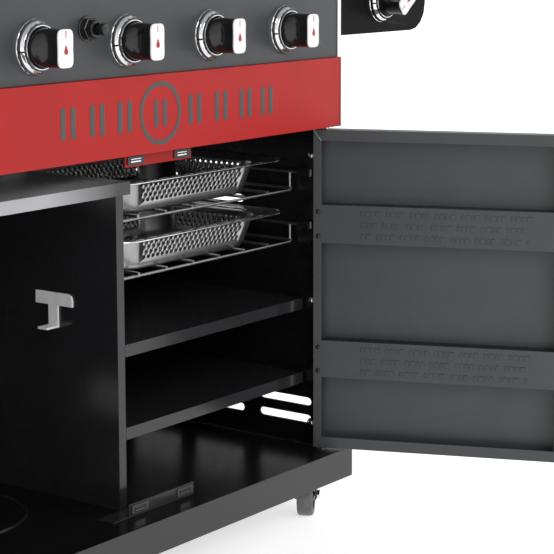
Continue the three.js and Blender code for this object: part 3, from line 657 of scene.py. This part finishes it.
def knob(node, x, z, front, lean):
    """A chrome ring on the panel, and a knob with a light face that turns in it."""
    spot = PLACE @ Matrix.Translation((x, front, z))
    spin = Matrix.Rotation(math.radians(lean), 4, "Y")
    forward = Matrix.Translation((0, KNOB_BACK, 0)) @ FACE_FRONT
    ring = moved(lathe(BEZEL_PROFILE, 72), FACE_FRONT)
    piece(node + "_ring", *ring, "chrome", "frame", "chrome", matrix=spot, smooth=50)
    notch = slab(-33.4, -28.6, -10.6, -3.4, -0.9, 0.9)
    piece(node + "_ring_notch", *notch, "black_plastic", "frame", "black_plastic",
          matrix=spot @ Matrix.Rotation(math.radians(-8), 4, "Y"), bevel=0.3)
    body = moved(loft(KNOB_SECTIONS, 72, KNOB_WAIST), forward)
    grip = piece(node + "_grip", *body, "black_plastic", node, "black_plastic",
                 matrix=spot @ spin, smooth=55)
    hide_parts(node)
    face = moved(loft(FACE_SECTIONS, 72, KNOB_WAIST), forward)
    piece(node + "_face", *face, "face_white", node, "chrome", matrix=spot @ spin)
    line = outline_prism(stadium(0, 16.4, 0.55, 4.2, 0.5, 2), *MARK_SKIN)
    drop = outline_prism(teardrop(0, -3.6, 3.6), *MARK_SKIN)
    piece(node + "_mark", *several([line, drop]), "mark_red", node, "red_paint",
          matrix=spot @ spin)


for i, x in enumerate(BURNER_X):
    knob(f"burner_knob_{i + 1}", x, KNOB_HEIGHT, PANEL_FRONT, 0)
knob("side_burner_knob", **SIDE_KNOB)


# ---- igniter ------------------------------------------------------------------------------------
IGNITER_X, IGNITER_HEIGHT = -156.5, 738


def igniter():
    spot = PLACE @ Matrix.Translation((IGNITER_X, PANEL_FRONT, IGNITER_HEIGHT))
    nut = moved(capped(*lathe([(14.2, 1.8), (14.6, 2.4), (14.6, 8.6), (13.4, 9.6)], 6), 6),
                FACE_FRONT)
    collar = moved(lathe([(11.0, 9.2), (11.4, 9.8), (11.4, 16.4), (10.4, 17.8), (7.4, 18.0),
                          (7.2, 9.6)], 40), FACE_FRONT)
    washer = moved(lathe([(15.4, 0.1), (15.8, 0.6), (15.8, 1.7), (14.6, 2.2), (12.0, 2.2)], 40),
                   FACE_FRONT)
    housing = piece("igniter_nut", *several([nut, collar, washer]), "black_plastic", "frame",
                    "black_plastic", matrix=spot, bevel=0.5)
    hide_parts("igniter_housing")
    cap = moved(capped(*lathe([(6.0, 1.0), (6.0, 23.0), (7.0, 23.6), (7.3, 24.4), (7.3, 30.2),
                               (6.6, 31.4), (4.6, 32.0), (0.4, 32.2)], 40), 40), FACE_FRONT)
    button = piece("igniter_cap", *cap, "black_plastic", "igniter_button", "black_plastic",
                   matrix=spot, smooth=40)
    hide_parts("igniter_button")


igniter()


# ---- fascia print, made of plain shapes ---------------------------------------------------------
PRINT_RING_X, PRINT_HEIGHT = -27.4, 626
PRINT_BARS_X = (-198.5, -146.7, -95.8, 41.5, 96.4, 148.9, 196.4)


def fascia_print():
    mid_x, mid_z, skin = PRINT_RING_X, PRINT_HEIGHT, (-0.3, 0.4)
    parts = [moved(lathe([(40.6, -0.4), (40.6, 0.3), (34.6, 0.3), (34.6, -0.4)], 96),
                   Matrix.Translation((mid_x, 0, mid_z)) @ FACE_FRONT)]
    for x in (-8.5, 8.5):
        parts.append(outline_prism(stadium(mid_x + x, mid_z, 4.0, 18, 3.9), *skin))
    for x in PRINT_BARS_X:
        for bar in (-9, 9):
            parts.append(outline_prism(stadium(x + bar, mid_z, 4.2, 20, 4.1), *skin))
    piece("fascia_print", *several(parts), "print_grey", "frame", "grey_paint")


fascia_print()


# ---- doors --------------------------------------------------------------------------------------
DOOR_BANDS = ((208, 263), (407, 463))  # lower and upper edge of each stamped band
DOOR_INNER = 12.0  # the face towards the cabinet when the door is shut
LINE_WIDTHS, LINE_GAPS = (3, 6, 4, 7, 3, 5), (3, 2.5, 3, 9)
LINE_START, LINE_END, LINE_PITCH, LINE_HALF = -54.0, -300, 16.5, 3.6
SCREW_X = 9.7
SCREW_PROFILE = [(3.4, -0.2), (3.4, 0.8), (2.8, 1.7), (1.6, 2.2), (0.3, 2.3)]
PIN_PROFILE = [(3.6, 0), (3.6, 5.5), (2.6, 6.2), (0.3, 6.2)]
PIN_BOTTOM, PIN_TOP = 98.2, 575.2
TO_BACK = Matrix.Rotation(math.radians(-90), 4, "X")  # turns +Z towards +Y


def door_matrix(side):
    joint = JOINTS["right_door_hinge" if side > 0 else "left_door_hinge"]
    open_now = -joint["range_deg"][0] * side
    return (Matrix.Translation((joint["pos_m"][0], joint["pos_m"][1], 0)) @ turn_z(open_now) @
            Matrix.Scale(MM, 4) @ Matrix.Diagonal((side, 1, 1, 1)))


def door_details(side, name):
    matrix = door_matrix(side)
    dashes, screws = [], []
    for low, high in DOOR_BANDS:
        for row in range(3):
            z = high - 11.5 - row * LINE_PITCH
            x = LINE_START
            k = row
            while x > LINE_END:
                wide = LINE_WIDTHS[k % 6]
                dashes.append(slab(x - wide, x, DOOR_INNER - 0.4, DOOR_INNER + 1.3,
                                   z - LINE_HALF, z + LINE_HALF))
                x -= wide + LINE_GAPS[k % 4]
                k += 1
        for z in (low + 10, high - 10):
            screws.append(moved(lathe(SCREW_PROFILE, 20),
                                Matrix.Translation((SCREW_X, DOOR_INNER, z)) @ TO_BACK))
    piece(name + "_band_relief", *several(dashes), "grey_paint", name, "grey_paint",
          matrix=matrix, bevel=0.4)
    piece(name + "_screws", *several(screws), "black_plastic", name, "black_plastic",
          matrix=matrix)
    pins = []
    for height, flip in ((102.5, math.pi), (571.5, 0)):
        verts, faces = moved(lathe(PIN_PROFILE, 20),
                             Matrix.Translation((0, 0, height)) @ Matrix.Rotation(flip, 4, "X"))
        pins.append(([(x, y, max(PIN_BOTTOM, min(z, PIN_TOP))) for x, y, z in verts], faces))
    piece(name + "_hinge_pins", *several(pins), "chrome", name, "chrome", matrix=matrix)
    # a thin near-black strip along the top edge of each band: a painted shadow line under the step
    shadow_strips = [slab(-335, 4, -9.5, 11.4, high - 0.1, high + 0.4) for _, high in DOOR_BANDS]
    piece(name + "_band_shadow_strips", *several(shadow_strips), "near_black_paint", name, "grey_paint",
          matrix=matrix, bevel=0.1)
    # a thin bright strip across each top mitre corner: a painted highlight in the mitre gap
    seam_highlights = []
    for x, z, sx, sz in ((17, 572, -12, -16), (-352, 572, 16, -16)):
        a, b = Vector((x, 0, z)), Vector((x + sx, 0, z + sz))
        across = Vector((sz, 0, -sx)).normalized() * 0.3
        corners = [a + across, a - across, b - across, b + across]
        seam_highlights.append(outline_prism([(c.x, c.z) for c in corners], DOOR_INNER - 0.2,
                                   DOOR_INNER + 0.12))
    piece(name + "_corner_seam_highlights", *several(seam_highlights), "silver_trim", name, "silver_trim",
          matrix=matrix)


for name, side in (("right_door", 1), ("left_door", -1)):
    door_details(side, name)


# ---- catches, bolts, casters --------------------------------------------------------------------
CATCH_X = (-46, 46)
CATCH_BACK = 25.6  # all three layers of a catch stay behind 25.06, clear of the shut doors
CATCH_LAYERS = {"frame": (25.2, 26.6), "slot": (25.13, CATCH_BACK), "pole": (25.06, CATCH_BACK)}


def catches():
    # the lower catch gets the lighter copy of the grey paint: painted light, as it sits lit on the
    # base apron
    for name, z0, flip, look in (("lower_catch", 97.3, 1, "apron_paint"),
                                 ("upper_catch", 575.4, -1, "grey_paint")):
        frames, slots, poles = [], [], []
        z = z0 + flip * 10
        for x in CATCH_X:
            frames.append(outline_prism(stadium(x, z, 16.5, 5.6, 2.2), *CATCH_LAYERS["frame"]))
            slots.append(outline_prism(stadium(x - 1, z, 11.5, 3.4, 1.2), *CATCH_LAYERS["slot"]))
            for up, half, corner in ((-1.5, 0.8, 0.5), (1.9, 0.5, 0.4)):
                poles.append(outline_prism(stadium(x - 1, z + up, 9.6, half, corner),
                                           *CATCH_LAYERS["pole"]))
        piece(name + "_blocks", *several(frames), look, "frame", "dark_paint", bevel=0.5)
        piece(name + "_slots", *several(slots), "black_plastic", "frame", "black_plastic")
        piece(name + "_poles", *several(poles), "chrome", "frame", "chrome")


catches()


BOLT_HEIGHTS, BOLT_DEPTH = (130, 316, 531), 44.5
BOLT_DOME = [(4.9, 0), (4.9, 1.0), (4.4, 2.3), (3.2, 3.3), (1.6, 3.8), (0.3, 3.9)]
BOLT_DISC = [(4.0, 0), (7.6, 0.1), (7.8, 0.6), (7.6, 1.1), (4.0, 1.2)]


def bolts():
    heads, washers = [], []
    for side in (-1, 1):
        turn = Matrix.Rotation(math.radians(-90 * side), 4, "Y")
        for z in BOLT_HEIGHTS:
            for parts, profile, x in ((heads, BOLT_DOME, 362.9), (washers, BOLT_DISC, 363.9)):
                spot = Matrix.Translation((side * x, BOLT_DEPTH, z))
                parts.append(moved(lathe(profile, 24), spot @ turn))
    piece("wall_bolts", *several(heads), "chrome", "frame", "chrome")
    piece("wall_washers", *several(washers), "near_black_paint", "frame", "dark_paint")


bolts()


TREAD_PROFILE = [(23, -11.4), (28, -11.8), (30.6, -10.6), (31.7, -8), (32, -4), (32, 4),
                 (31.7, 8), (30.6, 10.6), (28, 11.8), (23, 11.4)]
HUB_PROFILE = [(4.2, -12), (8.5, -12.2), (9.5, -11), (11, -9.6), (22, -9.2), (23.2, -10.4),
               (23.2, 10.4), (22, 9.2), (11, 9.6), (9.5, 11), (8.5, 12.2), (4.2, 12)]


def casters():
    for corner in ("front_left", "front_right", "rear_left", "rear_right"):
        roll = JOINTS[f"caster_roll_{corner}"]
        along = Vector(roll["axis"]).to_track_quat("Z", "Y").to_matrix().to_4x4()
        spot = Matrix.Translation(Vector(roll["pos_m"])) @ along
        spot = spot @ Matrix.Scale(MM, 4)
        tread = lathe(TREAD_PROFILE, 56)
        tyre = piece(f"caster_tread_{corner}", *tread, "wheel_grey", f"caster_wheel_{corner}",
                     "wheel_grey", matrix=spot, smooth=40)
        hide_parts(f"caster_wheel_{corner}")
        hub = lathe(HUB_PROFILE, 56)
        piece(f"caster_hub_{corner}", *hub, "black_plastic", f"caster_wheel_{corner}",
              "black_plastic", matrix=spot, smooth=40)
        nut = capped(*lathe([(6.2, 16.4), (6.2, 20.4), (5.4, 21)], 6), 6)
        piece(f"caster_nut_{corner}", *several([nut, moved(nut, Matrix.Diagonal((1, 1, -1, 1)))]),
              "chrome", f"caster_fork_{corner}", "chrome", matrix=spot, bevel=0.5)


casters()


# ---- lid dial and handle ------------------------------------------------------------------------
LID_FRONT = 61.7
DIAL_HEIGHT, DIAL_TICKS, DIAL_SWEEP = 950, 25, 260
HANDLE_HEIGHT, HANDLE_FRONT, HANDLE_END, HANDLE_FOOT_X = 862, 15.7, 285, 255
FOOT_PROFILE = [(16, 0), (16, 3.4), (14.6, 5), (10, 5.6), (9, 7), (9, 44)]


def dial():
    spot = PLACE @ Matrix.Translation((0, LID_FRONT, DIAL_HEIGHT))
    ring = moved(lathe([(38.8, 0), (39, 8), (38.2, 10.8), (36, 12), (33.6, 11.2), (33, 9.2)], 72),
                 FACE_FRONT)
    rim = piece("dial_ring", *ring, "chrome", "lid", "chrome", matrix=spot, smooth=50)
    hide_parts("lid_thermometer")
    plate = moved(capped(*lathe([(33.4, 8.4), (33.4, 9.2)], 72), 72), FACE_FRONT)
    piece("dial_plate", *plate, "face_white", "lid", "chrome", matrix=spot)
    ticks = []
    for i in range(DIAL_TICKS):
        a = math.radians(i * DIAL_SWEEP / (DIAL_TICKS - 1) - DIAL_SWEEP / 2)
        reach = 22 if i % 4 == 0 else 26
        tick = slab(-0.5, 0.5, -9.6, -9.1, reach, 30)
        ticks.append(moved(tick, Matrix.Rotation(a, 4, "Y")))
    piece("dial_ticks", *several(ticks), "black_plastic", "lid", "black_plastic", matrix=spot)
    needle = moved(outline_prism([(-1.4, -5), (1.4, -5), (0.4, 24), (-0.4, 24)], -10.4, -9.8),
                   Matrix.Rotation(math.radians(-118), 4, "Y"))
    hub = moved(capped(*lathe([(3.4, 9.2), (3.4, 11)], 24), 24), FACE_FRONT)
    piece("dial_needle", *several([needle, hub]), "mark_red", "lid", "red_paint", matrix=spot)


dial()


def lid_handle():
    ends = [(x, HANDLE_FRONT, HANDLE_HEIGHT) for x in (-HANDLE_END, HANDLE_END)]
    wire("lid_handle_bar", [ends], 12, "stainless", "lid", "lid_handle")
    for i, x in enumerate((-HANDLE_FOOT_X, HANDLE_FOOT_X)):
        spot = PLACE @ Matrix.Translation((x, LID_FRONT, HANDLE_HEIGHT))
        foot = moved(lathe(FOOT_PROFILE, 32), FACE_FRONT)
        piece(f"lid_handle_bar_foot_{i + 1}", *foot, "stainless", "lid", "stainless",
              matrix=spot, smooth=40)


lid_handle()


# ---- every other CAD node gets a finished copy --------------------------------------------------
LOOK_OF_SLOT = {"chrome_wire": "wire"}
LOOK_OF_NODE = {
    "base_tray": "gloss_painted_shade_top",
    "right_side_shelf": "wing_paint",
    "left_side_shelf": "wing_paint",
    "control_panel": "panel_paint",
    "upper_shelf": "gloss_sheet",
    "lower_shelf": "gloss_sheet",
    "centre_divider": "gloss_sheet",
    "bottle_heat_shield": "shield_sheet",
    "left_side_panel": "near_black_paint",
    "right_side_panel": "near_black_paint",
    "rear_panel": "near_black_paint",
    "firebox": "near_black_paint",
    "bottle_hook": "zinc_sheet",
}
LARGE_NODE = 0.2  # metres across; longer nodes get the wider bevel
LARGE_BEVEL, SMALL_BEVEL = 0.4, 0.3
slot_of = {part["node"]: part["material_slot"] for part in frame["record"]["subparts"]}
for node, obj in NODES.items():
    if obj.hide_render:
        continue
    slot = slot_of[node]
    look = LOOK_OF_NODE.get(node, LOOK_OF_SLOT.get(slot, slot))
    bevel = LARGE_BEVEL if obj.dimensions.length > LARGE_NODE else SMALL_BEVEL
    refined(node, look, bevel)


# ---- floor, light and camera --------------------------------------------------------------------
FLOOR_REACH, FLOOR_GLOW = 60, 0.6  # the reach and the camera's spot are in metres
WORLD_STRENGTH = 1.02
# name, turn to the right of the front, height above the floor (degrees), power, softness
SUNS = (("key", -25, 30, 0.9, 30), ("fill", 45, 25, 0.35, 50), ("back", 200, 50, 0.4, 45))


def stage():
    floor = bpy.data.meshes.new("floor")
    corners = ((-1, -1), (1, -1), (1, 1), (-1, 1))
    floor.from_pydata([(x * FLOOR_REACH, y * FLOOR_REACH, 0) for x, y in corners], [],
                      [(0, 1, 2, 3)])
    ground = bpy.data.objects.new("floor", floor)
    bpy.context.scene.collection.objects.link(ground)
    pale = material("pale_floor", (0.80, 0.80, 0.80), (0.6, 0.8), grain=3, spread=0.01, bump=0.0)
    shader = pale.node_tree.nodes["Principled BSDF"]
    shader.inputs["Emission Color"].default_value = (1, 1, 1, 1)
    shader.inputs["Emission Strength"].default_value = FLOOR_GLOW
    floor.materials.append(pale)
    world = bpy.data.worlds.new("studio")
    bpy.context.scene.world = world
    world.use_nodes = True
    nodes, links = world.node_tree.nodes, world.node_tree.links
    coords = nodes.new("ShaderNodeTexCoord")
    split = nodes.new("ShaderNodeSeparateXYZ")
    ramp = nodes.new("ShaderNodeValToRGB")
    ramp.color_ramp.elements[0].position = 0.25
    ramp.color_ramp.elements[0].color = (1, 1, 1, 1)
    ramp.color_ramp.elements[1].position = 0.8
    ramp.color_ramp.elements[1].color = (0.45, 0.45, 0.46, 1)
    links.new(coords.outputs["Generated"], split.inputs["Vector"])
    links.new(split.outputs["Z"], ramp.inputs["Fac"])
    links.new(ramp.outputs["Color"], nodes["Background"].inputs["Color"])
    nodes["Background"].inputs["Strength"].default_value = WORLD_STRENGTH
    for name, azimuth, height, power, soft in SUNS:
        lamp = bpy.data.lights.new(name, "SUN")
        lamp.energy = power
        lamp.angle = math.radians(soft)
        sun = bpy.data.objects.new(name, lamp)
        bpy.context.scene.collection.objects.link(sun)
        a, e = math.radians(azimuth), math.radians(height)
        away = Vector((math.sin(a) * math.cos(e), -math.cos(a) * math.cos(e), math.sin(e)))
        sun.rotation_mode = "QUATERNION"
        sun.rotation_quaternion = away.to_track_quat("Z", "Y")
    bpy.context.scene.view_settings.view_transform = "Standard"


stage()


CAMERA_SPOT = (-1.849, -1.622, 0.8555)
CAMERA_YAW, CAMERA_PITCH = 36.0, 7.97
LENS, SHIFT_X, SHIFT_Y = 122.2, -0.045, -0.15


def camera():
    data = bpy.data.cameras.new("camera")
    data.lens = LENS
    data.shift_x, data.shift_y = SHIFT_X, SHIFT_Y
    cam = bpy.data.objects.new("camera", data)
    bpy.context.scene.collection.objects.link(cam)
    yaw, pitch = math.radians(CAMERA_YAW), math.radians(CAMERA_PITCH)
    look = Vector((math.cos(yaw) * math.cos(pitch), math.sin(yaw) * math.cos(pitch),
                   -math.sin(pitch)))
    cam.rotation_mode = "QUATERNION"
    cam.rotation_quaternion = look.to_track_quat("-Z", "Y")
    cam.location = CAMERA_SPOT
    data.clip_start, data.clip_end = 0.05, 200
    bpy.context.scene.camera = cam


camera()
